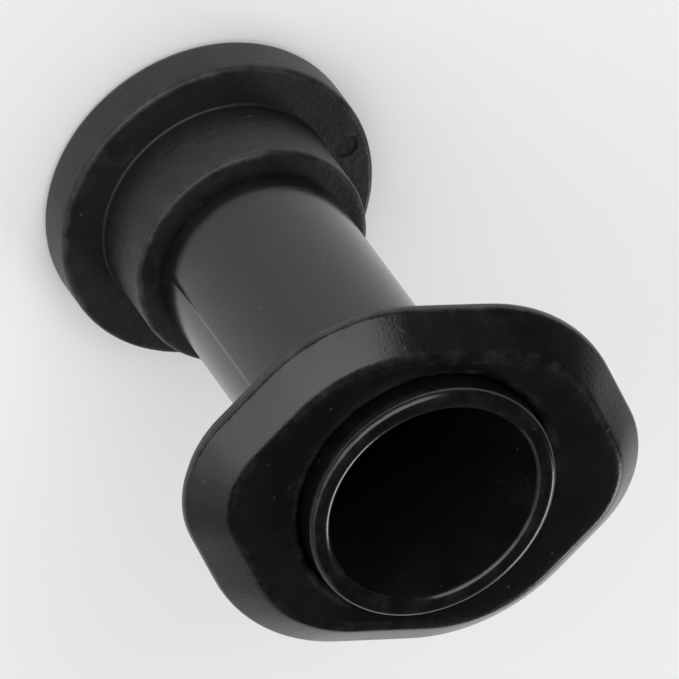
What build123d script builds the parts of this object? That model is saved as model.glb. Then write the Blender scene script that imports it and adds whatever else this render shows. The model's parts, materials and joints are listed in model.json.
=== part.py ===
"""A string eyelet for the hoop of a racket: the moulded insert that a tie-off knot is pulled into.

Row frame, in millimetres: the bore runs along Z, +Z points out of the hoop towards the string bed, X is the
long way of the nose, and the origin is where the bore's axis crosses the hoop's inner face. From the string
bed inwards the pieces are the nose cap, the string bush inside it, the seat gasket under both, and the groove
collar that pushes onto the bush's tail from the outside of the hoop.
"""
import os
from math import cos, radians, sin

from build123d import *

# ---- the hoop that the eyelet fits ----
HOOP_DEPTH = 8.5        # inner face to the floor of the string groove
HOLE_D = 4.5            # the hole through both of the hoop's walls
INNER_WALL = 1.5        # thickness of the inner wall
OUTER_WALL = 1.6        # thickness of the groove's floor

# ---- nose outline: a lozenge with two side flats and four end flats ----
NOSE_LENGTH = 8.7       # tip to tip
NOSE_WIDTH = 6.8        # side flat to side flat
END_BEARING = 36        # way that an end flat faces, in degrees from the long axis
TIP_R = 2.0             # rounding where two end flats meet
SIDE_R = 3.2            # rounding where an end flat meets a side flat

# ---- nose cap ----
CAP_WALL = 0.15         # upright band at the foot of the cap
BEVEL_RISE = 0.6
BEVEL_RUN = 0.6
CREASE_R = 0.12         # softened edge between the bevel and the top
MOUTH_CHAMFER = 0.14    # bevel round the cap's hole, which shows as a seam round the lip

# ---- string bush ----
LIP_OUTER_D = 4.65
LIP_CREST_RISE = 0.4    # how far the lip stands above the cap's top
LIP_WALL = 0.35         # thickness of the lip, which is rounded right over
THROAT_WALL = 0.25      # the barrel's wall where the bowl passes the shoulder's underside
BORE_D = 2.0
BOWL_DEPTH = 2.82       # from the lip's crest to where the bowl becomes the bore
SHOULDER_LEDGE = 0.4    # how far the shoulder stands out past the lip
SHOULDER_T = 0.35
TAIL_STEP = 0.25        # how much smaller the tail's radius is than the barrel's
TAIL_CHAMFER = 0.15

# ---- seat gasket ----
BRIM_T = 0.2
BRIM_INSET = 0.1        # how far the brim's edge stays inside the cap's
SPIGOT_WALL = 0.43      # soft lining between the barrel and the hoop's hole
SPIGOT_CHAMFER = 0.12

# ---- groove collar ----
COLLAR_D = 6.0
COLLAR_T = 1.0          # thickness of the flange in the string groove
FLARE_R = 0.7           # rounding where the string turns out of the bore
COLLAR_EDGE_R = 0.22
COLLAR_CHAMFER = 0.12

# ---- clearances, all radial except END_GAP ----
FIT_CAP_ON_LIP = 0.02
FIT_CAP_ON_SHOULDER = 0.03
FIT_GASKET_ON_BARREL = 0.02
FIT_COLLAR_ON_TAIL = 0.03
FIT_COLLAR_IN_HOLE = 0.05
END_GAP = 0.1           # from the collar's spigot to the step on the barrel

# ---- radii that follow from the hoop's hole and from the lip ----
SPIGOT_R = HOLE_D / 2
BARREL_R = SPIGOT_R - SPIGOT_WALL - FIT_GASKET_ON_BARREL
TAIL_R = BARREL_R - TAIL_STEP
THROAT_R = BARREL_R - THROAT_WALL
LIP_R = LIP_OUTER_D / 2
BOWL_R = LIP_R - LIP_WALL
SHOULDER_R = LIP_R + SHOULDER_LEDGE

# ---- heights along the bore ----
BRIM_TOP = BRIM_T
SHOULDER_TOP = BRIM_TOP + SHOULDER_T
BEVEL_FOOT = BRIM_TOP + CAP_WALL
CAP_TOP = BEVEL_FOOT + BEVEL_RISE
LIP_CREST = CAP_TOP + LIP_CREST_RISE
LIP_FOOT = LIP_CREST - LIP_WALL / 2
BOWL_FLOOR = LIP_CREST - BOWL_DEPTH
GROOVE_FLOOR = -HOOP_DEPTH
COLLAR_BOTTOM = GROOVE_FLOOR - COLLAR_T
TAIL_END = COLLAR_BOTTOM + FLARE_R
SPIGOT_TOP = GROOVE_FLOOR + OUTER_WALL
BARREL_STEP = SPIGOT_TOP + END_GAP


def nose_flats():
    """(bearing, reach from the bore's axis) of the six flats, in order round the nose."""
    end_reach = (NOSE_LENGTH / 2 - TIP_R) * cos(radians(END_BEARING)) + TIP_R
    side_reach = NOSE_WIDTH / 2
    return [
        (END_BEARING, end_reach),
        (90, side_reach),
        (180 - END_BEARING, end_reach),
        (180 + END_BEARING, end_reach),
        (270, side_reach),
        (360 - END_BEARING, end_reach),
    ]


def corner_between(flat_a, flat_b, inset):
    """Where two flats would meet if their corner weren't rounded."""
    (bearing_a, reach_a), (bearing_b, reach_b) = flat_a, flat_b
    reach_a -= inset
    reach_b -= inset
    ax, ay = cos(radians(bearing_a)), sin(radians(bearing_a))
    bx, by = cos(radians(bearing_b)), sin(radians(bearing_b))
    cross = ax * by - ay * bx
    return (reach_a * by - reach_b * ay) / cross, (ax * reach_b - bx * reach_a) / cross


def nose_outline(inset, z):
    """The lozenge at height z, moved inwards by inset all round."""
    flats = nose_flats()
    corners = [corner_between(flats[i], flats[(i + 1) % 6], inset) for i in range(6)]
    points = [(x, y, z) for x, y in corners]
    side_r = SIDE_R - inset
    tip_r = TIP_R - inset
    radii = [side_r, side_r, tip_r, side_r, side_r, tip_r]
    return make_face(FilletPolyline(*points, radius=radii, close=True))


def turned(points):
    """A solid of revolution about the bore's axis from an outline of (radius, height) points."""
    profile = make_face(Polyline(*[(r, 0, z) for r, z in points], close=True))
    return revolve(profile, Axis.Z)


def make_nose_cap():
    wall = extrude(nose_outline(0, BRIM_TOP), CAP_WALL, dir=(0, 0, 1))
    bevel = loft([nose_outline(0, BEVEL_FOOT), nose_outline(BEVEL_RUN, CAP_TOP)], ruled=True)
    cap = wall + bevel
    cap = fillet(cap.faces().sort_by(Axis.Z)[-1].edges(), CREASE_R)
    hole_r = LIP_R + FIT_CAP_ON_LIP
    pocket_r = SHOULDER_R + FIT_CAP_ON_SHOULDER
    cut = turned([
        (0, BRIM_TOP),
        (pocket_r, BRIM_TOP),
        (pocket_r, SHOULDER_TOP),
        (hole_r, SHOULDER_TOP),
        (hole_r, CAP_TOP - MOUTH_CHAMFER),
        (hole_r + MOUTH_CHAMFER, CAP_TOP),
        (0, CAP_TOP),
    ])
    return cap - cut


def make_string_bush():
    bore_r = BORE_D / 2
    lip = ThreePointArc((LIP_R, 0, LIP_FOOT), (LIP_R - LIP_WALL / 2, 0, LIP_CREST), (BOWL_R, 0, LIP_FOOT))
    rest = Polyline(
        (BOWL_R, 0, LIP_FOOT),
        (THROAT_R, 0, BRIM_TOP),
        (bore_r, 0, BOWL_FLOOR),
        (bore_r, 0, TAIL_END),
        (TAIL_R - TAIL_CHAMFER, 0, TAIL_END),
        (TAIL_R, 0, TAIL_END + TAIL_CHAMFER),
        (TAIL_R, 0, BARREL_STEP),
        (BARREL_R, 0, BARREL_STEP),
        (BARREL_R, 0, BRIM_TOP),
        (SHOULDER_R, 0, BRIM_TOP),
        (SHOULDER_R, 0, SHOULDER_TOP),
        (LIP_R, 0, SHOULDER_TOP),
        (LIP_R, 0, LIP_FOOT),
    )
    return revolve(make_face(lip + rest), Axis.Z)


def make_seat_gasket():
    bore_r = BARREL_R + FIT_GASKET_ON_BARREL
    brim = extrude(nose_outline(BRIM_INSET, 0), BRIM_T, dir=(0, 0, 1))
    spigot = turned([
        (bore_r, BRIM_T / 2),
        (bore_r, -INNER_WALL),
        (SPIGOT_R - SPIGOT_CHAMFER, -INNER_WALL),
        (SPIGOT_R, -INNER_WALL + SPIGOT_CHAMFER),
        (SPIGOT_R, BRIM_T / 2),
    ])
    bore = Pos(0, 0, BRIM_T / 2) * Cylinder(bore_r, 2 * BRIM_T)
    return brim - bore + spigot


def make_groove_collar():
    flange_r = COLLAR_D / 2
    spigot_r = SPIGOT_R - FIT_COLLAR_IN_HOLE
    socket_r = TAIL_R + FIT_COLLAR_ON_TAIL
    bore_r = BORE_D / 2
    flare_end = (bore_r + FLARE_R, 0, COLLAR_BOTTOM)
    flare_mid = (bore_r + FLARE_R * (1 - cos(radians(45))), 0, TAIL_END - FLARE_R * sin(radians(45)))
    flare = ThreePointArc((bore_r, 0, TAIL_END), flare_mid, flare_end)
    edge_start = (flange_r - COLLAR_EDGE_R, 0, COLLAR_BOTTOM)
    edge_mid_out = COLLAR_EDGE_R * (1 - cos(radians(45)))
    edge_mid = (flange_r - edge_mid_out, 0, COLLAR_BOTTOM + edge_mid_out)
    edge_end = (flange_r, 0, COLLAR_BOTTOM + COLLAR_EDGE_R)
    foot = Line(flare_end, edge_start) + ThreePointArc(edge_start, edge_mid, edge_end)
    rest = Polyline(
        edge_end,
        (flange_r, 0, GROOVE_FLOOR - COLLAR_CHAMFER),
        (flange_r - COLLAR_CHAMFER, 0, GROOVE_FLOOR),
        (spigot_r, 0, GROOVE_FLOOR),
        (spigot_r, 0, SPIGOT_TOP - COLLAR_CHAMFER),
        (spigot_r - COLLAR_CHAMFER, 0, SPIGOT_TOP),
        (socket_r, 0, SPIGOT_TOP),
        (socket_r, 0, TAIL_END),
        (bore_r, 0, TAIL_END),
    )
    return revolve(make_face(flare + foot + rest), Axis.Z)


PIECES = {
    "nose_cap": make_nose_cap,
    "string_bush": make_string_bush,
    "seat_gasket": make_seat_gasket,
    "groove_collar": make_groove_collar,
}

os.makedirs("parts", exist_ok=True)
for name, make in PIECES.items():
    piece = make()
    export_step(piece, f"parts/{name}.step")
    box = piece.bounding_box()
    print(f"{name}: {piece.volume:.3f} mm3, {len(piece.solids())} solid, z {box.min.Z:.2f} to {box.max.Z:.2f}")
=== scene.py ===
# %% [markdown]
# # A string eyelet for the hoop of a racket
# The eyelet is a small black moulding that lines one string hole of a racket's hoop. A tie-off string
# leaves through it, and the knot is pulled down into its bowl. Four pieces make it: a soft nose cap on the
# inside of the hoop, a hard string bush through the hoop, a soft seat gasket between the two and the hoop,
# and a collar in the string groove outside.
#
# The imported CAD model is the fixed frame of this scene. It gives the places and the sizes, and it has
# coarse facets, so each piece is made again here, smooth and with its own finish, in the same space.

# %% Load the fixed frame
import json
import math
import bmesh
import bpy
from mathutils import Matrix, Vector


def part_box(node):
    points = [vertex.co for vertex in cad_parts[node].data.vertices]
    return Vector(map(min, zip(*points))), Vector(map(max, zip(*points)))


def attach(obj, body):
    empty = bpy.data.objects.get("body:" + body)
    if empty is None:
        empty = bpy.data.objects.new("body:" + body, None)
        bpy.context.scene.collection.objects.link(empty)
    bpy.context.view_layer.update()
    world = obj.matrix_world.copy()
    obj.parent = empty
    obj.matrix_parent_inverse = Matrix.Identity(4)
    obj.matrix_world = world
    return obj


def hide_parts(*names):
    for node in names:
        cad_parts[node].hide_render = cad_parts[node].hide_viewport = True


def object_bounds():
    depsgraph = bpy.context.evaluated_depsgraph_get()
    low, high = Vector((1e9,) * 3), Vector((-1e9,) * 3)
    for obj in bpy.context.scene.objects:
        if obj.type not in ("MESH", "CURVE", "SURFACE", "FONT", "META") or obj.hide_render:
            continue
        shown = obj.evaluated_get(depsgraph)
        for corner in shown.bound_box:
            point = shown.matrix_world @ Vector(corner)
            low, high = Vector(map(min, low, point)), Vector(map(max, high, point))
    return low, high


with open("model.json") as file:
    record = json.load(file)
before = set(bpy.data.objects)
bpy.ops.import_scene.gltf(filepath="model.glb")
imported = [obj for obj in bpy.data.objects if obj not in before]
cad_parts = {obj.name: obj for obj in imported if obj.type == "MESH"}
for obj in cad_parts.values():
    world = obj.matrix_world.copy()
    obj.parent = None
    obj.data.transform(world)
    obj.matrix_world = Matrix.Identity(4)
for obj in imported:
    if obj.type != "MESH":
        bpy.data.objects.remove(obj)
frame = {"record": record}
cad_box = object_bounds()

MM = 0.001
mounts = {mount["name"]: mount for mount in frame["record"]["mounts"]}
print("CAD box in mm:", [[round(value / MM, 3) for value in corner] for corner in cad_box])

# %% [markdown]
# ## Sizes
# A maker reads a drawing before cutting anything. Here the drawing is the frame: the boxes of the CAD nodes
# and the mounts of the record give every size that another piece fits to. Only the roundings and a few
# radii that lie inside a piece are named.

# %% Read the drawing
nose_lo, nose_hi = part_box("nose_cap")
bush_lo, bush_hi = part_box("string_bush")
gasket_lo, gasket_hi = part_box("seat_gasket")
collar_lo, collar_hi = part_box("groove_collar")

BORE_R = mounts["string_bore"]["dims"]["r_mm"] * MM
SPIGOT_R = mounts["hoop_spigot"]["dims"]["r_mm"] * MM
COLLAR_SPIGOT_R = mounts["groove_spigot"]["dims"]["r_mm"] * MM
GROOVE_FLOOR = mounts["groove_face"]["pos_m"][2]
TIP_X = nose_hi.x
SIDE_Y = nose_hi.y
CAP_FOOT = nose_lo.z
CAP_TOP = nose_hi.z
LIP_CREST = bush_hi.z
TAIL_END = bush_lo.z
SHOULDER_R = bush_hi.x
print(f"nose {2 * TIP_X / MM:.2f} by {2 * SIDE_Y / MM:.2f} mm, lip {LIP_CREST / MM:.2f} mm above the hoop")

# %% [markdown]
# ## Effects that every finish shares
# A black moulding is never one flat black. Three effects make the difference, and each is a node group,
# built once and placed in every finish with its own values: the grain that the mould leaves, the tight
# edges, lightened partly as rubbed wear and partly as a painted highlight, and the fine pale dust that
# settles on it. They read Object coordinates, so they don't slide when the piece moves.

# %% Helpers for node trees
def new_group(name, given, made):
    """A shader node group; given and made are lists of (socket name, socket type, default or None)."""
    group = bpy.data.node_groups.new(name, "ShaderNodeTree")
    for direction, sockets in (("INPUT", given), ("OUTPUT", made)):
        for socket_name, kind, default in sockets:
            socket = group.interface.new_socket(
                socket_name, in_out=direction, socket_type="NodeSocket" + kind)
            if default is not None:
                socket.default_value = default
    return group, group.nodes.new("NodeGroupInput"), group.nodes.new("NodeGroupOutput")


def node(tree, kind, links=(), settings=(), **values):
    """A node with its settings and constant inputs; links holds (input, source socket) pairs to join."""
    made = tree.nodes.new(kind)
    for key, value in dict(settings).items():
        setattr(made, key, value)
    for key, value in values.items():
        made.inputs[key.replace("_", " ")].default_value = value
    for key, source in links:
        tree.links.new(source, made.inputs[key])
    return made


def maths(tree, operation, a, b=None, c=None):
    """A Math node's output; a, b and c are sockets or numbers."""
    made = tree.nodes.new("ShaderNodeMath")
    made.operation = operation
    for index, value in enumerate((a, b, c)):
        if isinstance(value, bpy.types.NodeSocket):
            tree.links.new(value, made.inputs[index])
        elif value is not None:
            made.inputs[index].default_value = value
    return made.outputs[0]


def mixed(tree, share, a, b):
    """A colour mix's output; share, a and b are sockets or values."""
    made = tree.nodes.new("ShaderNodeMix")
    made.data_type = "RGBA"
    for index, value in ((0, share), (6, a), (7, b)):
        if isinstance(value, bpy.types.NodeSocket):
            tree.links.new(value, made.inputs[index])
        else:
            made.inputs[index].default_value = value
    return made.outputs[2]


# %% Mould grain
RIPPLES_PER_METRE = 900.0
PATCHES_PER_METRE = 700.0
RINGS_PER_METRE = 9000.0


def grain_group():
    """Height: pits, a slow ripple and the rings that a lathe left in the mould. Tone: patches, 0 to 1."""
    group, given, made = new_group(
        "mould grain",
        [("Grain per Metre", "Float", 20000.0), ("Ripple", "Float", 0.3), ("Lathe Rings", "Float", 0.0)],
        [("Height", "Float", None), ("Tone", "Float", None)],
    )
    place = group.nodes.new("ShaderNodeTexCoord").outputs["Object"]
    scale = given.outputs["Grain per Metre"]
    pits = node(group, "ShaderNodeTexNoise", [("Vector", place), ("Scale", scale)],
                Detail=3.0, Roughness=0.6)
    slow = node(group, "ShaderNodeTexNoise", [("Vector", place)],
                Scale=RIPPLES_PER_METRE, Detail=2.0, Roughness=0.5)
    patches = node(group, "ShaderNodeTexNoise", [("Vector", place)],
                   Scale=PATCHES_PER_METRE, Detail=5.0, Roughness=0.68)
    axes = node(group, "ShaderNodeSeparateXYZ", [("Vector", place)])
    squared = maths(group, "MULTIPLY", axes.outputs["X"], axes.outputs["X"])
    summed = maths(group, "MULTIPLY_ADD", axes.outputs["Y"], axes.outputs["Y"], squared)
    radius = maths(group, "SQRT", summed)
    section = node(group, "ShaderNodeCombineXYZ", [("X", radius), ("Y", axes.outputs["Z"])])
    cut = node(group, "ShaderNodeTexNoise", [("Vector", section.outputs["Vector"])],
               Scale=RINGS_PER_METRE, Detail=2.0, Roughness=0.7)
    rings = maths(group, "MULTIPLY", cut.outputs["Fac"], given.outputs["Lathe Rings"])
    ripple = maths(group, "MULTIPLY", slow.outputs["Fac"], given.outputs["Ripple"])
    height = maths(group, "ADD", maths(group, "ADD", pits.outputs["Fac"], ripple), rings)
    group.links.new(height, made.inputs["Height"])
    group.links.new(patches.outputs["Fac"], made.inputs["Tone"])
    return group


# %% Tight edges lightened: rubbed wear and a painted edge highlight
RUB_AND_SHEEN_STARTS = 0.42       # noise value at which an edge begins to be lightened, as rubbing and as painted highlight
RUB_AND_SHEEN_FULL = 0.68         # noise value at which the rubbing and the painted highlight are full


def wear_and_sheen_group():
    """Mask: 1 where an outside edge is lightened, partly as rubbed wear and partly as a painted highlight,
    broken up so that no edge is lightened evenly.
    """
    group, given, made = new_group(
        "rubbed edges and painted sheen",
        [("Amount", "Float", 0.5), ("Breakup per Metre", "Float", 2500.0)],
        [("Mask", "Float", None)],
    )
    edge = group.nodes.new("ShaderNodeAttribute")
    edge.attribute_name = "edge"
    place = group.nodes.new("ShaderNodeTexCoord").outputs["Object"]
    scale = given.outputs["Breakup per Metre"]
    noise = node(group, "ShaderNodeTexNoise", [("Vector", place), ("Scale", scale)],
                 Detail=5.0, Roughness=0.65)
    broken = node(group, "ShaderNodeMapRange", [("Value", noise.outputs["Fac"])],
                  From_Min=RUB_AND_SHEEN_STARTS, From_Max=RUB_AND_SHEEN_FULL, To_Min=0.0, To_Max=1.0)
    rubbed_and_sheen = maths(group, "MULTIPLY", edge.outputs["Fac"], broken.outputs["Result"])
    mask = maths(group, "MULTIPLY", rubbed_and_sheen, given.outputs["Amount"])
    group.links.new(mask, made.inputs["Mask"])
    return group


# %% Dust
SPECKS_PER_METRE = 4200.0
SPECK_CORE = 0.03       # distance from a cell's middle, as a share of a cell, within which a speck is solid
SPECK_EDGE = 0.15       # and the distance at which it has ended
SPECK_PICK = 0.72       # only cells whose random number is above this hold a speck
STIR_PER_METRE = 16000.0
STIR_REACH = 0.00012    # how far the specks' outlines are pulled about, in metres
HAZE_PER_METRE = 1400.0


def dust_group():
    """Mask: sparse pale specks, with a faint film on the faces that look up."""
    group, given, made = new_group(
        "dust",
        [("Specks", "Float", 0.5), ("Film", "Float", 0.2)],
        [("Mask", "Float", None)],
    )
    place = group.nodes.new("ShaderNodeTexCoord").outputs["Object"]
    stir = node(group, "ShaderNodeTexNoise", [("Vector", place)], Scale=STIR_PER_METRE, Detail=2.0)
    stretch = node(group, "ShaderNodeVectorMath", [(0, stir.outputs["Color"])],
                   {"operation": "SCALE"}, Scale=STIR_REACH)
    uneven = node(group, "ShaderNodeVectorMath", [(0, place), (1, stretch.outputs["Vector"])],
                  {"operation": "ADD"})
    cells = node(group, "ShaderNodeTexVoronoi", [("Vector", uneven.outputs["Vector"])],
                 Scale=SPECKS_PER_METRE, Randomness=1.0)
    size = node(group, "ShaderNodeMapRange", [("Value", cells.outputs["Distance"])],
                From_Min=SPECK_CORE, From_Max=SPECK_EDGE, To_Min=1.0, To_Max=0.0)
    pick = node(group, "ShaderNodeSeparateColor", [("Color", cells.outputs["Color"])])
    some = node(group, "ShaderNodeMapRange", [("Value", pick.outputs["Red"])],
                From_Min=SPECK_PICK, From_Max=1.0, To_Min=0.0, To_Max=1.0)
    chosen = maths(group, "MULTIPLY", size.outputs["Result"], some.outputs["Result"])
    specks = maths(group, "MULTIPLY", chosen, given.outputs["Specks"])
    normal = group.nodes.new("ShaderNodeNewGeometry").outputs["Normal"]
    up = node(group, "ShaderNodeSeparateXYZ", [("Vector", normal)]).outputs["Z"]
    haze = node(group, "ShaderNodeTexNoise", [("Vector", place)],
                Scale=HAZE_PER_METRE, Detail=6.0, Roughness=0.7)
    facing = maths(group, "MAXIMUM", up, 0.0)
    hazy = maths(group, "MULTIPLY", facing, haze.outputs["Fac"])
    film = maths(group, "MULTIPLY", hazy, given.outputs["Film"])
    group.links.new(maths(group, "MAXIMUM", specks, film), made.inputs["Mask"])
    return group


GRAIN = grain_group()
# Tight outside edges made lighter: partly rubbed wear, partly a painted highlight along the edges.
WEAR_AND_SHEEN = wear_and_sheen_group()
DUST = dust_group()
print("shared groups:", GRAIN.name, "|", WEAR_AND_SHEEN.name, "|", DUST.name)

# %% [markdown]
# ## The finishes
# All four pieces are black, and they differ in how they take the light. The cap is satin elastomer: fairly
# smooth, with a soft grain. The gasket is the same stuff from a rougher mould. The bush is hard nylon from
# a polished mould, because the string runs over it. The collar is nylon from a spark-eroded mould, so it is
# dull.

# %% One recipe for black mouldings
DUST_COLOUR = (0.23, 0.22, 0.21)
DUST_DULLING = 0.5      # roughness that a full cover of dust adds
PATCH_DARKNESS = 0.55   # how dark the darkest patches are, as a share of the colour


def black_moulding(name, colour, worn_and_sheen, roughness, rough_spread, grain, depth, ripple, rings,
                   wear_and_sheen, specks, film):
    """A black moulding's material. Its second colour goes on tight outside edges, partly as rubbed wear and
    partly as a painted highlight; depth is the grain's, in metres.
    """
    material = bpy.data.materials.new(name)
    material.use_nodes = True
    tree = material.node_tree
    surface = tree.nodes["Principled BSDF"]
    moulded = node(tree, "ShaderNodeGroup", (), {"node_tree": GRAIN},
                   Grain_per_Metre=grain, Ripple=ripple, Lathe_Rings=rings)
    rubbed_and_sheen = node(tree, "ShaderNodeGroup", (), {"node_tree": WEAR_AND_SHEEN}, Amount=wear_and_sheen)
    settled = node(tree, "ShaderNodeGroup", (), {"node_tree": DUST}, Specks=specks, Film=film)
    darker = (*[channel * PATCH_DARKNESS for channel in colour], 1.0)
    base = mixed(tree, moulded.outputs["Tone"], darker, (*colour, 1.0))
    # Tight outside edges turn lighter here: partly rubbed wear, partly a painted highlight along the edges.
    base = mixed(tree, rubbed_and_sheen.outputs["Mask"], base, (*worn_and_sheen, 1.0))
    base = mixed(tree, settled.outputs["Mask"], base, (*DUST_COLOUR, 1.0))
    tree.links.new(base, surface.inputs["Base Color"])
    smoothest = roughness - rough_spread / 2
    patchy = maths(tree, "MULTIPLY_ADD", moulded.outputs["Tone"], rough_spread, smoothest)
    dulled = maths(tree, "MULTIPLY_ADD", settled.outputs["Mask"], DUST_DULLING, patchy)
    tree.links.new(dulled, surface.inputs["Roughness"])
    bump = node(tree, "ShaderNodeBump", [("Height", moulded.outputs["Height"])],
                Strength=1.0, Distance=depth)
    tree.links.new(bump.outputs["Normal"], surface.inputs["Normal"])
    return material


# %% The four finishes
def nose_elastomer():
    material = black_moulding("nose_elastomer", colour=(0.0038, 0.0038, 0.004), worn_and_sheen=(0.04, 0.04, 0.042),
                              roughness=0.26, rough_spread=0.12, grain=14000.0,
                              depth=5e-6, ripple=2.0, rings=0.0,
                              wear_and_sheen=0.8, specks=0.3, film=0.007)
    material.node_tree.nodes["Principled BSDF"].inputs["IOR"].default_value = 1.5
    return material


def bush_nylon():
    material = black_moulding("bush_nylon", colour=(0.0035, 0.0035, 0.0037), worn_and_sheen=(0.025, 0.025, 0.026),
                              roughness=0.19, rough_spread=0.10, grain=9000.0,
                              depth=1.6e-6, ripple=3.0, rings=1.2,
                              wear_and_sheen=0.6, specks=0.25, film=0.006)
    material.node_tree.nodes["Principled BSDF"].inputs["IOR"].default_value = 1.53
    return material


def gasket_elastomer():
    return black_moulding("gasket_elastomer", colour=(0.011, 0.011, 0.0114), worn_and_sheen=(0.05, 0.05, 0.052),
                          roughness=0.62, rough_spread=0.14, grain=20000.0,
                          depth=1e-5, ripple=0.6, rings=0.0,
                          wear_and_sheen=0.4, specks=0.3, film=0.02)


def collar_nylon():
    return black_moulding("collar_nylon", colour=(0.0075, 0.0075, 0.0079), worn_and_sheen=(0.045, 0.045, 0.046),
                          roughness=0.46, rough_spread=0.14, grain=11000.0,
                          depth=1.0e-5, ripple=0.5, rings=0.7,
                          wear_and_sheen=0.7, specks=0.3, film=0.02)


FINISHES = {make.__name__: make() for make in (nose_elastomer, bush_nylon, gasket_elastomer, collar_nylon)}
print("finishes:", list(FINISHES))

# %% [markdown]
# ## The lozenge
# Seen from the string bed the nose is a lozenge: two side flats and four end flats, with rounded corners.
# When such an outline moves inwards every corner keeps its centre and only its radius shrinks. So one
# function that walks round the six arcs gives the outline at any inset, and outlines at different insets
# match point for point.

# %% Outline of the nose
END_BEARING = math.radians(36)
TIP_R = 2.0 * MM
SIDE_R = 3.2 * MM
ARC_STEPS = 16
FLAT_STEPS = 8


def lozenge_arcs():
    """(centre, radius, first bearing, last bearing) of the six corners, anticlockwise from the +X tip."""
    tip_centre = TIP_X - TIP_R
    end_reach = tip_centre * math.cos(END_BEARING) + TIP_R
    side_y = SIDE_Y - SIDE_R
    side_x = (end_reach - SIDE_R - side_y * math.sin(END_BEARING)) / math.cos(END_BEARING)
    quarter = math.pi / 2
    half = math.pi
    return [
        (Vector((tip_centre, 0)), TIP_R, -END_BEARING, END_BEARING),
        (Vector((side_x, side_y)), SIDE_R, END_BEARING, quarter),
        (Vector((-side_x, side_y)), SIDE_R, quarter, half - END_BEARING),
        (Vector((-tip_centre, 0)), TIP_R, half - END_BEARING, half + END_BEARING),
        (Vector((-side_x, -side_y)), SIDE_R, half + END_BEARING, 3 * quarter),
        (Vector((side_x, -side_y)), SIDE_R, 3 * quarter, 2 * half - END_BEARING),
    ]


def on_arc(arc, share, inset):
    centre, radius, first, last = arc
    bearing = first + (last - first) * share
    return centre + (radius - inset) * Vector((math.cos(bearing), math.sin(bearing)))


def lozenge(inset, z):
    """Points round the nose's outline at height z, moved inwards by inset."""
    arcs = lozenge_arcs()
    points = []
    for arc, following in zip(arcs, arcs[1:] + arcs[:1]):
        points += [on_arc(arc, step / ARC_STEPS, inset) for step in range(ARC_STEPS + 1)]
        start = points[-1]
        end = on_arc(following, 0, inset)
        points += [start.lerp(end, step / FLAT_STEPS) for step in range(1, FLAT_STEPS)]
    return [Vector((point.x, point.y, z)) for point in points]


def circle(radius, z):
    """A ring that matches the lozenge point for point, each point in the same direction from the bore."""
    return [Vector((*(radius * point.xy.normalized()), z)) for point in lozenge(0, z)]


def between(ring_a, ring_b, share, drop=0.0):
    """The ring a share of the way from ring_a to ring_b, lowered by drop."""
    return [a.lerp(b, share) - Vector((0, 0, drop)) for a, b in zip(ring_a, ring_b)]


print("points round the nose:", len(lozenge(0, 0)))

# %% [markdown]
# ## A skin over rings
# The cap and the gasket aren't round, so they can't be turned. They are built as a net instead: rings of
# points run round the piece, up its outside, over the top, down the inside and back under. Faces join each
# ring to the next, and the last ring to the first, so the surface is closed.

# %% Helpers that make and finish a mesh
SAME_PLACE = 1e-7           # points closer than this, in metres, are one point
SMOOTH_LIMIT = math.radians(35)
EDGE_CURVATURE = 9000.0     # curvature, in 1/m, at which an edge counts as fully exposed
EDGE_SPREAD = 2             # how many times the mark is spread to its neighbours


def mark_edges(bm):
    """Writes the point attribute "edge": 1 on a tight outside edge, 0 on a flat or hollow place."""
    layer = bm.verts.layers.float.get("edge") or bm.verts.layers.float.new("edge")
    for vert in bm.verts:
        sharpest = 0.0
        for edge in vert.link_edges:
            if len(edge.link_faces) == 2:
                middles = [face.calc_center_median() for face in edge.link_faces]
                span = (middles[0] - middles[1]).length
                sharpest = max(sharpest, edge.calc_face_angle_signed(0.0) / max(span, 1e-9))
        vert[layer] = min(1.0, sharpest / EDGE_CURVATURE)
    for _ in range(EDGE_SPREAD):
        spread = {}
        for vert in bm.verts:
            near = [edge.other_vert(vert)[layer] for edge in vert.link_edges]
            spread[vert] = max(vert[layer], 0.5 * (vert[layer] + sum(near) / len(near)))
        for vert, value in spread.items():
            vert[layer] = value


def finish_mesh(bm, name, finish):
    """A named object at the origin from bm, with outward normals, smooth faces and the edge attribute."""
    bmesh.ops.remove_doubles(bm, verts=bm.verts, dist=SAME_PLACE)
    bmesh.ops.recalc_face_normals(bm, faces=bm.faces)
    mark_edges(bm)
    mesh = bpy.data.meshes.new(name)
    mesh.materials.append(finish)
    bm.to_mesh(mesh)
    volume = bm.calc_volume(signed=True)
    open_edges = sum(1 for edge in bm.edges if len(edge.link_faces) != 2)
    bm.free()
    mesh.shade_smooth()
    mesh.set_sharp_from_angle(angle=SMOOTH_LIMIT)
    piece = bpy.data.objects.new(name, mesh)
    bpy.context.scene.collection.objects.link(piece)
    print(f"{name}: {len(mesh.polygons)} faces, {volume / MM ** 3:.2f} mm3, {open_edges} open edges")
    return piece


def skin(name, rings, finish):
    """A closed surface over rings of equal length, in order round the piece's section."""
    bm = bmesh.new()
    rows = [[bm.verts.new(point) for point in ring] for ring in rings]
    count = len(rows[0])
    for row, following in zip(rows, rows[1:] + rows[:1]):
        for i in range(count):
            j = (i + 1) % count
            bm.faces.new((row[i], row[j], following[j], following[i]))
    return finish_mesh(bm, name, finish)


# %% [markdown]
# ## The nose cap
# This is the part that shows: a soft black moulding with a low upright foot, a bevel that runs all the way
# round, and a flat top. The top sinks very slightly towards its hole, as a thin soft moulding does when it
# cools. The edges aren't sharp, so each corner of the section is a short arc of rings. Inside is a pocket
# that grips the shoulder of the bush.

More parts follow.
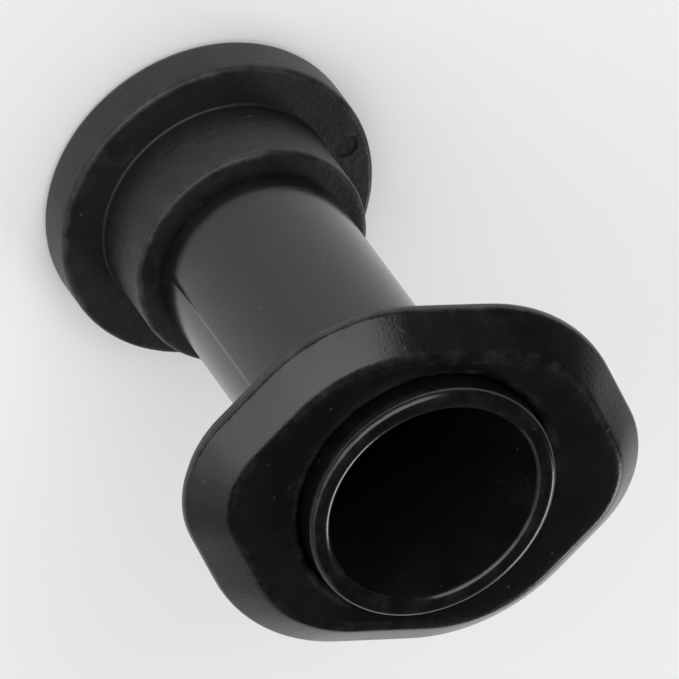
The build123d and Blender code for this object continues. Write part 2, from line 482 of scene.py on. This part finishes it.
# %% Nose cap
CAP_WALL = 0.15 * MM
BEVEL_RUN = 0.6 * MM
FOOT_ROUND = 0.05 * MM
WAIST_ROUND = 0.16 * MM
CREASE_ROUND = 0.26 * MM
MOUTH_R = 2.345 * MM
MOUTH_CHAMFER = 0.14 * MM
POCKET_GAP = 0.03 * MM
POCKET_HEIGHT = 0.35 * MM
TOP_SINK = 0.03 * MM
CORNER_STEPS = 6
HOLD = 0.04 * MM            # how far past an arc a point is set to keep the flat beside it flat
TOP_RINGS = (0.25, 0.5, 0.75, 0.92)     # where rings lie on the top, as shares from its edge to the hole
MOUTH_EASE = 0.35           # where the ring that splits the hole's bevel lies, as a share of the bevel
UNDER_RING = 0.9            # where the ring on the underside lies, as a share from the pocket to the edge


def rounded_corner(before, corner, after, radius):
    """Points of the arc that rounds a corner of a section, each (inset, height)."""
    corner = Vector(corner)
    way_in = (Vector(before) - corner).normalized()
    way_out = (Vector(after) - corner).normalized()
    half = way_in.angle(way_out) / 2
    centre = corner + (way_in + way_out).normalized() * radius / math.sin(half)
    start = corner + way_in * radius / math.tan(half) - centre
    turn = way_in.angle_signed(way_out)
    sweep = (math.pi - 2 * half) * (1 if turn > 0 else -1)
    points = []
    for step in range(CORNER_STEPS + 1):
        spin = Matrix.Rotation(sweep * step / CORNER_STEPS, 2)
        points.append(tuple(centre + spin @ start))
    return points


def held(points):
    """The points with one more just before and one just after, so that a flat next to an arc stays flat."""
    first = Vector(points[0]) - (Vector(points[1]) - Vector(points[0])).normalized() * HOLD
    last = Vector(points[-1]) + (Vector(points[-1]) - Vector(points[-2])).normalized() * HOLD
    return [tuple(first), *points, tuple(last)]


def make_nose_cap(finish):
    bevel_foot = CAP_FOOT + CAP_WALL
    foot = (0, CAP_FOOT)
    waist = (0, bevel_foot)
    crease = (BEVEL_RUN, CAP_TOP)
    inner = (2 * BEVEL_RUN, CAP_TOP)
    outside = rounded_corner((BEVEL_RUN, CAP_FOOT), foot, waist, FOOT_ROUND)
    outside += rounded_corner(foot, waist, crease, WAIST_ROUND)
    outside += held(rounded_corner(waist, crease, inner, CREASE_ROUND))
    rings = [lozenge(inset, z) for inset, z in outside]
    rim = rings[-1]
    mouth = circle(MOUTH_R + MOUTH_CHAMFER, CAP_TOP)
    for share in TOP_RINGS:
        rings.append(between(rim, mouth, share, TOP_SINK * share))
    top = CAP_TOP - TOP_SINK
    pocket_r = SHOULDER_R + POCKET_GAP
    rings.append(circle(MOUTH_R + MOUTH_CHAMFER, top))
    rings.append(circle(MOUTH_R + MOUTH_CHAMFER * MOUTH_EASE, top - MOUTH_CHAMFER * MOUTH_EASE))
    rings.append(circle(MOUTH_R, top - MOUTH_CHAMFER))
    rings.append(circle(MOUTH_R, CAP_FOOT + POCKET_HEIGHT))
    rings.append(circle(pocket_r, CAP_FOOT + POCKET_HEIGHT))
    rings.append(circle(pocket_r, CAP_FOOT))
    rings.append(between(circle(pocket_r, CAP_FOOT), lozenge(FOOT_ROUND, CAP_FOOT), UNDER_RING))
    return skin("nose_cap_moulding", rings, finish)


nose_cap = make_nose_cap(FINISHES["nose_elastomer"])
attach(nose_cap, "eyelet")
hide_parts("nose_cap")

# %% [markdown]
# ## The seat gasket
# A thin soft pad with nearly the cap's outline lies under the cap and keeps the hard bush off the hoop's
# paint. It is squeezed between the bush and the hoop, so its edge bulges. Its short spigot lines the hole
# in the hoop.

# %% Seat gasket
BARREL_R = 1.8 * MM
GASKET_GAP = 0.02 * MM
SPIGOT_CHAMFER = 0.12 * MM
BRIM_INSET = nose_hi.y - gasket_hi.y
BULGE_STEPS = 8
BRIM_RINGS = (0.08, 0.9)    # where rings lie across the brim's top, as shares from its edge to the bore
SEAT_RING = 0.92            # where the ring on its underside lies, as a share from the spigot to the edge
SPIGOT_EASE = 0.3           # where the ring that splits the spigot's chamfer lies, as a share of it


def make_seat_gasket(finish):
    top = gasket_hi.z
    end = gasket_lo.z
    bulge = top / 2
    rings = []
    for step in range(BULGE_STEPS + 1):
        turn = math.pi * (step / BULGE_STEPS - 0.5)
        rings.append(lozenge(BRIM_INSET + bulge * (1 - math.cos(turn)), bulge + bulge * math.sin(turn)))
    under = rings[0]
    over = rings[-1]
    bore = BARREL_R + GASKET_GAP
    for share in BRIM_RINGS:
        rings.append(between(over, circle(bore, top), share))
    rings.append(circle(bore, top))
    rings.append(circle(bore, end))
    rings.append(circle(SPIGOT_R - SPIGOT_CHAMFER, end))
    rings.append(circle(SPIGOT_R - SPIGOT_CHAMFER * SPIGOT_EASE, end + SPIGOT_CHAMFER * SPIGOT_EASE))
    rings.append(circle(SPIGOT_R, end + SPIGOT_CHAMFER))
    rings.append(circle(SPIGOT_R, -HOLD))
    rings.append(circle(SPIGOT_R + HOLD, 0))
    rings.append(between(circle(SPIGOT_R, 0), under, SEAT_RING))
    return skin("seat_gasket_pad", rings, finish)


seat_gasket = make_seat_gasket(FINISHES["gasket_elastomer"])
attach(seat_gasket, "eyelet")
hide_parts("seat_gasket")

# %% [markdown]
# ## A tree that turns a section
# The string bush and the groove collar are round, so both follow one rule: half a section, spun about the
# bore. A Geometry Nodes tree says that rule once. The base mesh is the section, drawn flat with sharp
# corners, radius along X and height along Y, and each corner carries how round it should be. The tree
# rounds the corners, stands the section up and carries it along a circle.

# %% Geometry Nodes: round the corners and turn
PATH_R = 1.0 * MM
STEPS_ROUND = 256


def new_tree(name, given):
    """A Geometry Nodes tree that makes a piece; given is a list of (socket name, socket type)."""
    tree = bpy.data.node_groups.new(name, "GeometryNodeTree")
    for socket_name, kind in given:
        tree.interface.new_socket(socket_name, in_out="INPUT", socket_type="NodeSocket" + kind)
    tree.interface.new_socket("Piece", in_out="OUTPUT", socket_type="NodeSocketGeometry")
    return tree


def turning_tree():
    """Section in, round piece out: fillet the corners, stand the section up and carry it along a circle."""
    tree = new_tree("turn a section", [
        ("Section", "Geometry"),
        ("Steps Round", "Int"),
        ("Corner Steps", "Int"),
        ("Path Radius", "Float"),
        ("Finish", "Material"),
    ])
    nodes = tree.nodes
    links = tree.links
    given = nodes.new("NodeGroupInput")
    outline = nodes.new("GeometryNodeMeshToCurve")
    rounding = nodes.new("GeometryNodeInputNamedAttribute")
    rounding.data_type = "FLOAT"
    rounding.inputs["Name"].default_value = "round"
    fillet = nodes.new("GeometryNodeFilletCurve")
    fillet.mode = "POLY"
    fillet.inputs["Limit Radius"].default_value = True
    back = nodes.new("ShaderNodeMath")
    back.operation = "MULTIPLY"
    back.inputs[1].default_value = -1.0
    offset = nodes.new("ShaderNodeCombineXYZ")
    move = nodes.new("GeometryNodeTransform")
    path = nodes.new("GeometryNodeCurvePrimitiveCircle")
    upright = nodes.new("GeometryNodeSetCurveNormal")
    upright.mode = "Z_UP"
    turn = nodes.new("GeometryNodeCurveToMesh")
    merge = nodes.new("GeometryNodeMergeByDistance")
    merge.inputs["Distance"].default_value = SAME_PLACE
    real = nodes.new("GeometryNodeRealizeInstances")
    finish = nodes.new("GeometryNodeSetMaterial")
    made = nodes.new("NodeGroupOutput")
    links.new(given.outputs["Section"], outline.inputs["Mesh"])
    links.new(outline.outputs["Curve"], fillet.inputs["Curve"])
    links.new(rounding.outputs["Attribute"], fillet.inputs["Radius"])
    links.new(given.outputs["Corner Steps"], fillet.inputs["Count"])
    links.new(given.outputs["Path Radius"], back.inputs[0])
    links.new(back.outputs[0], offset.inputs["X"])
    links.new(fillet.outputs["Curve"], move.inputs["Geometry"])
    links.new(offset.outputs["Vector"], move.inputs["Translation"])
    links.new(given.outputs["Steps Round"], path.inputs["Resolution"])
    links.new(given.outputs["Path Radius"], path.inputs["Radius"])
    links.new(path.outputs["Curve"], upright.inputs["Curve"])
    links.new(upright.outputs["Curve"], turn.inputs["Curve"])
    links.new(move.outputs["Geometry"], turn.inputs["Profile Curve"])
    links.new(turn.outputs["Mesh"], merge.inputs["Geometry"])
    links.new(merge.outputs["Geometry"], real.inputs["Geometry"])
    links.new(real.outputs["Geometry"], finish.inputs["Geometry"])
    links.new(given.outputs["Finish"], finish.inputs["Material"])
    links.new(finish.outputs["Geometry"], made.inputs["Piece"])
    return tree


TURNING = turning_tree()
print("turning tree:", len(TURNING.nodes), "nodes")

# %% Run a tree and keep the result as a plain mesh
TURN_CORNER_STEPS = 8
PARTING_RISE = 0.012 * MM


def run_tree(base, tree, values):
    """The result of a Geometry Nodes tree on base, as a bmesh. base itself is used up."""
    modifier = base.modifiers.new("tree", "NODES")
    modifier.node_group = tree
    for item in tree.interface.items_tree:
        if item.name in values:
            modifier[item.identifier] = values[item.name]
    evaluated = base.evaluated_get(bpy.context.evaluated_depsgraph_get())
    mesh = bpy.data.meshes.new_from_object(evaluated)
    base.modifiers.clear()
    bm = bmesh.new()
    bm.from_mesh(mesh)
    bpy.data.objects.remove(base)
    bpy.data.meshes.remove(mesh)
    return bm


def section_object(name, corners):
    """The section as a closed loop of edges, its corners in order and each (radius, height, rounding)."""
    mesh = bpy.data.meshes.new(name)
    count = len(corners)
    mesh.from_pydata([(r, -z, 0) for r, z, _ in corners], [(i, (i + 1) % count) for i in range(count)], [])
    rounding = mesh.attributes.new("round", "FLOAT", "POINT")
    for i, (_, _, radius) in enumerate(corners):
        rounding.data[i].value = radius
    section = bpy.data.objects.new(name, mesh)
    bpy.context.scene.collection.objects.link(section)
    return section


def raise_parting_line(bm, radii):
    """A fine ridge along +X and -X on the outer surfaces of these radii, where the mould's halves met."""
    for vert in bm.verts:
        on_the_line = abs(vert.co.y) < SAME_PLACE
        if on_the_line and any(abs(abs(vert.co.x) - radius) < SAME_PLACE for radius in radii):
            vert.co.x += math.copysign(PARTING_RISE, vert.co.x)


def turned(name, corners, finish, parted):
    """A closed round piece from its section, as a bmesh. parted are the radii that get a parting line."""
    values = {
        "Steps Round": STEPS_ROUND,
        "Corner Steps": TURN_CORNER_STEPS,
        "Path Radius": PATH_R,
        "Finish": finish,
    }
    bm = run_tree(section_object(name, corners), TURNING, values)
    bmesh.ops.remove_doubles(bm, verts=bm.verts, dist=SAME_PLACE)
    raise_parting_line(bm, parted)
    return bm


# %% [markdown]
# ## The string bush
# Hard black nylon, moulded in one: a rounded lip, a deep bowl for the knot, a shoulder that the cap snaps
# over, and a long barrel with a thinner tail. Its mould is polished, because the string drags over the lip
# and the bowl.

# %% String bush
LIP_R = 2.325 * MM
LIP_WALL = 0.35 * MM
LIP_ROUND = 0.17 * MM
THROAT_R = 1.55 * MM
THROAT_ROUND = 2.0 * MM
BOWL_DEPTH = 2.82 * MM
BOWL_ROUND = 1.6 * MM
SHOULDER_HEIGHT = POCKET_HEIGHT
SHOULDER_ROUND = 0.04 * MM
TAIL_R = 1.55 * MM
TAIL_ROUND = 0.15 * MM
STEP_GAP = 0.1 * MM


def make_string_bush(finish):
    seat = gasket_hi.z
    shoulder_top = seat + SHOULDER_HEIGHT
    barrel_step = collar_hi.z + STEP_GAP
    corners = [
        (LIP_R, shoulder_top, 0.0),
        (LIP_R, LIP_CREST, LIP_ROUND),
        (LIP_R - LIP_WALL, LIP_CREST, LIP_ROUND),
        (THROAT_R, seat, THROAT_ROUND),
        (BORE_R, LIP_CREST - BOWL_DEPTH, BOWL_ROUND),
        (BORE_R, TAIL_END, TAIL_ROUND / 4),
        (TAIL_R, TAIL_END, TAIL_ROUND),
        (TAIL_R, barrel_step, TAIL_ROUND / 4),
        (BARREL_R, barrel_step, TAIL_ROUND / 2),
        (BARREL_R, seat, 0.0),
        (SHOULDER_R, seat, SHOULDER_ROUND),
        (SHOULDER_R, shoulder_top, SHOULDER_ROUND),
    ]
    bm = turned("bush_section", corners, finish, [BARREL_R, TAIL_R])
    return finish_mesh(bm, "string_bush_moulding", finish)


string_bush = make_string_bush(FINISHES["bush_nylon"])
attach(string_bush, "eyelet")
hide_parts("string_bush")


# %% [markdown]
# ## The groove collar
# The collar sits in the string groove outside the hoop. Its spigot fills the outer hole, its flange lies on
# the groove's floor, and a wide rounding lets the string turn into the groove without a kink. Three ejector
# pins push it out of its mould and leave shallow round marks on the flange. A second small tree makes them:
# it puts one pin on each point of a circle and cuts them all away together.

# %% Groove collar
FLARE_ROUND = 0.7 * MM
FLANGE_UNDER_ROUND = 0.22 * MM
FLANGE_TOP_ROUND = 0.12 * MM
COLLAR_ROOT_ROUND = 0.06 * MM
SOCKET_GAP = 0.03 * MM
PIN_COUNT = 3
PIN_R = 0.22 * MM
PIN_SIDES = 40
PIN_MARK_DEPTH = 0.02 * MM
PIN_FIRST_BEARING = math.radians(30)


def pin_mark_tree():
    """Moulding in, marked piece out: a pin on each point of a circle, all cut away together."""
    tree = new_tree("ejector pin marks", [
        ("Moulding", "Geometry"),
        ("Pins", "Int"),
        ("Pin Radius", "Float"),
        ("Twice Depth", "Float"),
        ("Circle Radius", "Float"),
        ("Circle Place", "Vector"),
        ("Circle Turn", "Vector"),
        ("Finish", "Material"),
    ])
    nodes = tree.nodes
    links = tree.links
    given = nodes.new("NodeGroupInput")
    ring = nodes.new("GeometryNodeMeshCircle")
    place = nodes.new("GeometryNodeTransform")
    pin = nodes.new("GeometryNodeMeshCylinder")
    pin.inputs["Vertices"].default_value = PIN_SIDES
    copies = nodes.new("GeometryNodeInstanceOnPoints")
    pins = nodes.new("GeometryNodeRealizeInstances")
    cut = nodes.new("GeometryNodeMeshBoolean")
    cut.operation = "DIFFERENCE"
    cut.solver = "EXACT"
    real = nodes.new("GeometryNodeRealizeInstances")
    finish = nodes.new("GeometryNodeSetMaterial")
    made = nodes.new("NodeGroupOutput")
    links.new(given.outputs["Pins"], ring.inputs["Vertices"])
    links.new(given.outputs["Circle Radius"], ring.inputs["Radius"])
    links.new(ring.outputs["Mesh"], place.inputs["Geometry"])
    links.new(given.outputs["Circle Place"], place.inputs["Translation"])
    links.new(given.outputs["Circle Turn"], place.inputs["Rotation"])
    links.new(given.outputs["Pin Radius"], pin.inputs["Radius"])
    links.new(given.outputs["Twice Depth"], pin.inputs["Depth"])
    links.new(place.outputs["Geometry"], copies.inputs["Points"])
    links.new(pin.outputs["Mesh"], copies.inputs["Instance"])
    links.new(copies.outputs["Instances"], pins.inputs["Geometry"])
    links.new(given.outputs["Moulding"], cut.inputs["Mesh 1"])
    links.new(pins.outputs["Geometry"], cut.inputs["Mesh 2"])
    links.new(cut.outputs["Mesh"], real.inputs["Geometry"])
    links.new(real.outputs["Geometry"], finish.inputs["Geometry"])
    links.new(given.outputs["Finish"], finish.inputs["Material"])
    links.new(finish.outputs["Geometry"], made.inputs["Piece"])
    return tree


def make_groove_collar(finish):
    flange_r = collar_hi.x - PARTING_RISE
    foot = collar_lo.z
    socket_r = TAIL_R + SOCKET_GAP
    corners = [
        (BORE_R, TAIL_END, 0.0),
        (BORE_R, foot, FLARE_ROUND),
        (flange_r, foot, FLANGE_UNDER_ROUND),
        (flange_r, GROOVE_FLOOR, FLANGE_TOP_ROUND),
        (COLLAR_SPIGOT_R, GROOVE_FLOOR, COLLAR_ROOT_ROUND),
        (COLLAR_SPIGOT_R, collar_hi.z, FLANGE_TOP_ROUND),
        (socket_r, collar_hi.z, COLLAR_ROOT_ROUND),
        (socket_r, TAIL_END, 0.0),
    ]
    bm = turned("collar_section", corners, finish, [flange_r, COLLAR_SPIGOT_R])
    plain = finish_mesh(bm, "collar_before_pins", finish)
    values = {
        "Pins": PIN_COUNT,
        "Pin Radius": PIN_R,
        "Twice Depth": 2 * PIN_MARK_DEPTH,
        "Circle Radius": (COLLAR_SPIGOT_R + COLLAR_ROOT_ROUND + flange_r - FLANGE_TOP_ROUND) / 2,
        "Circle Place": (0, 0, GROOVE_FLOOR),
        "Circle Turn": (0, 0, PIN_FIRST_BEARING),
        "Finish": finish,
    }
    return finish_mesh(run_tree(plain, pin_mark_tree(), values), "groove_collar_moulding", finish)


groove_collar = make_groove_collar(FINISHES["collar_nylon"])
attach(groove_collar, "collar")
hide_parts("groove_collar")

# %% [markdown]
# ## The stage
# The eyelet stands on its collar on a plain pale floor. The floor is wide enough for every view, so its
# edge never shows.

# %% Floor
FLOOR_RADIUS = 1.2
FLOOR_SIDES = 64
FLOOR_GAP = 0.002 * MM
FLOOR_COLOUR = (0.86, 0.86, 0.86)
FLOOR_ROUGHNESS = 0.7


def plain_material(name, colour, roughness):
    material = bpy.data.materials.new(name)
    material.use_nodes = True
    surface = material.node_tree.nodes["Principled BSDF"]
    surface.inputs["Base Color"].default_value = (*colour, 1.0)
    surface.inputs["Roughness"].default_value = roughness
    return material


def make_floor():
    bm = bmesh.new()
    bmesh.ops.create_circle(bm, cap_ends=True, radius=FLOOR_RADIUS, segments=FLOOR_SIDES)
    bmesh.ops.translate(bm, verts=bm.verts, vec=(0, 0, cad_box[0][2] - FLOOR_GAP))
    mesh = bpy.data.meshes.new("floor")
    bm.to_mesh(mesh)
    bm.free()
    mesh.materials.append(plain_material("pale_floor", FLOOR_COLOUR, FLOOR_ROUGHNESS))
    floor = bpy.data.objects.new("floor", mesh)
    bpy.context.scene.collection.objects.link(floor)


make_floor()

# %% [markdown]
# ## The light
# Black gloss shows only what it reflects. So the room is kept dim for reflections, and a row of softbox
# panels curves round one side of the piece, as one long softbox would. The row starts at full brightness,
# which ends the bright stretch of the bevel abruptly, and fades towards its other end, so that the bevel
# darkens by degrees. A small softbox of its own gives the lip its lower glint. Lights are measured here by
# how bright their face looks, because that is what the gloss shows, and the power follows from the area.

# %% Softboxes and the room
def softbox(name, bearing, elevation, distance, width, height, brightness):
    """A rectangular light facing the origin. brightness is its face's; the pale floor's is about 1."""
    light = bpy.data.lights.new(name, "AREA")
    light.shape = "RECTANGLE"
    light.size = width
    light.size_y = height
    light.energy = brightness * math.pi * width * height
    box = bpy.data.objects.new(name, light)
    bearing = math.radians(bearing)
    elevation = math.radians(elevation)
    flat = math.cos(elevation)
    way = Vector((flat * math.cos(bearing), flat * math.sin(bearing), math.sin(elevation)))
    box.location = way * distance
    box.rotation_mode = "QUATERNION"
    box.rotation_quaternion = way.to_track_quat("Z", "Y")
    box.visible_camera = False
    bpy.context.scene.collection.objects.link(box)


KEY_DISTANCE = 0.16
KEY_HEIGHT = 0.10
PANEL_SPAN = 24
KEY_PANELS = [      # (bearing of the middle, elevation, brightness), from the sharp end to the faded end
    (90, 40, 2.7),
    (114, 40, 2.7),
    (138, 40, 2.7),
    (162, 38, 2.2),
    (186, 34, 1.4),
    (210, 28, 0.8),
    (234, 20, 0.45),
    (258, 12, 0.45),
]
for number, (bearing, elevation, brightness) in enumerate(KEY_PANELS, start=1):
    half_span = math.radians(PANEL_SPAN / 2)
    width = 2 * KEY_DISTANCE * math.cos(math.radians(elevation)) * math.tan(half_span)
    softbox(f"key_panel_{number}", bearing, elevation, KEY_DISTANCE, width, KEY_HEIGHT, brightness)
softbox("lip_glint", bearing=-33, elevation=14, distance=KEY_DISTANCE,
        width=0.07, height=0.05, brightness=5.0)


def make_room(seen, scattered, reflected):
    """A pale room, with its brightness as the camera sees it, as it lights dull things and in gloss."""
    world = bpy.data.worlds.new("pale_room")
    bpy.context.scene.world = world
    world.use_nodes = True
    tree = world.node_tree
    background = tree.nodes["Background"]
    background.inputs["Color"].default_value = (1.0, 1.0, 1.0, 1.0)
    path = tree.nodes.new("ShaderNodeLightPath")
    lighting = maths(tree, "MULTIPLY_ADD", path.outputs["Is Camera Ray"], seen - scattered, scattered)
    strength = maths(tree, "MULTIPLY_ADD", path.outputs["Is Glossy Ray"], reflected - scattered, lighting)
    tree.links.new(strength, background.inputs["Strength"])


make_room(seen=0.93, scattered=0.56, reflected=0.035)
bpy.context.scene.view_settings.view_transform = "Standard"

# %% [markdown]
# ## The camera
# The camera looks down on the nose from its upper left, with the string bed side towards it, and it is
# rolled so that the nose's long axis climbs to the right. It stands well back with a long lens, so the
# perspective is weak.

# %% Camera
TO_CAMERA = Vector((-0.436, 0.482, 0.760)).normalized()
IMAGE_UP = Vector((0.0, 0.883, -0.470))
CAMERA_DISTANCE = 0.283
FRAME_MARGIN = 1.12
SENSOR = 36.0


def make_camera():
    right = IMAGE_UP.cross(TO_CAMERA).normalized()
    up = TO_CAMERA.cross(right)
    pieces = (nose_cap, seat_gasket, string_bush, groove_collar)
    points = [vert.co for piece in pieces for vert in piece.data.vertices]
    across = [point.dot(right) for point in points]
    along = [point.dot(up) for point in points]
    aim = right * (max(across) + min(across)) / 2 + up * (max(along) + min(along)) / 2
    width = max(max(across) - min(across), max(along) - min(along)) * FRAME_MARGIN
    data = bpy.data.cameras.new("camera")
    data.sensor_width = SENSOR
    data.lens = SENSOR * CAMERA_DISTANCE / width
    data.clip_start = 0.01
    data.clip_end = 3.0
    camera = bpy.data.objects.new("camera", data)
    facing = Matrix((right, up, TO_CAMERA)).transposed()
    camera.matrix_world = Matrix.Translation(aim + TO_CAMERA * CAMERA_DISTANCE) @ facing.to_4x4()
    bpy.context.scene.collection.objects.link(camera)
    bpy.context.scene.camera = camera
    print(f"lens {data.lens:.0f} mm, picture {width / MM:.1f} mm wide")


make_camera()
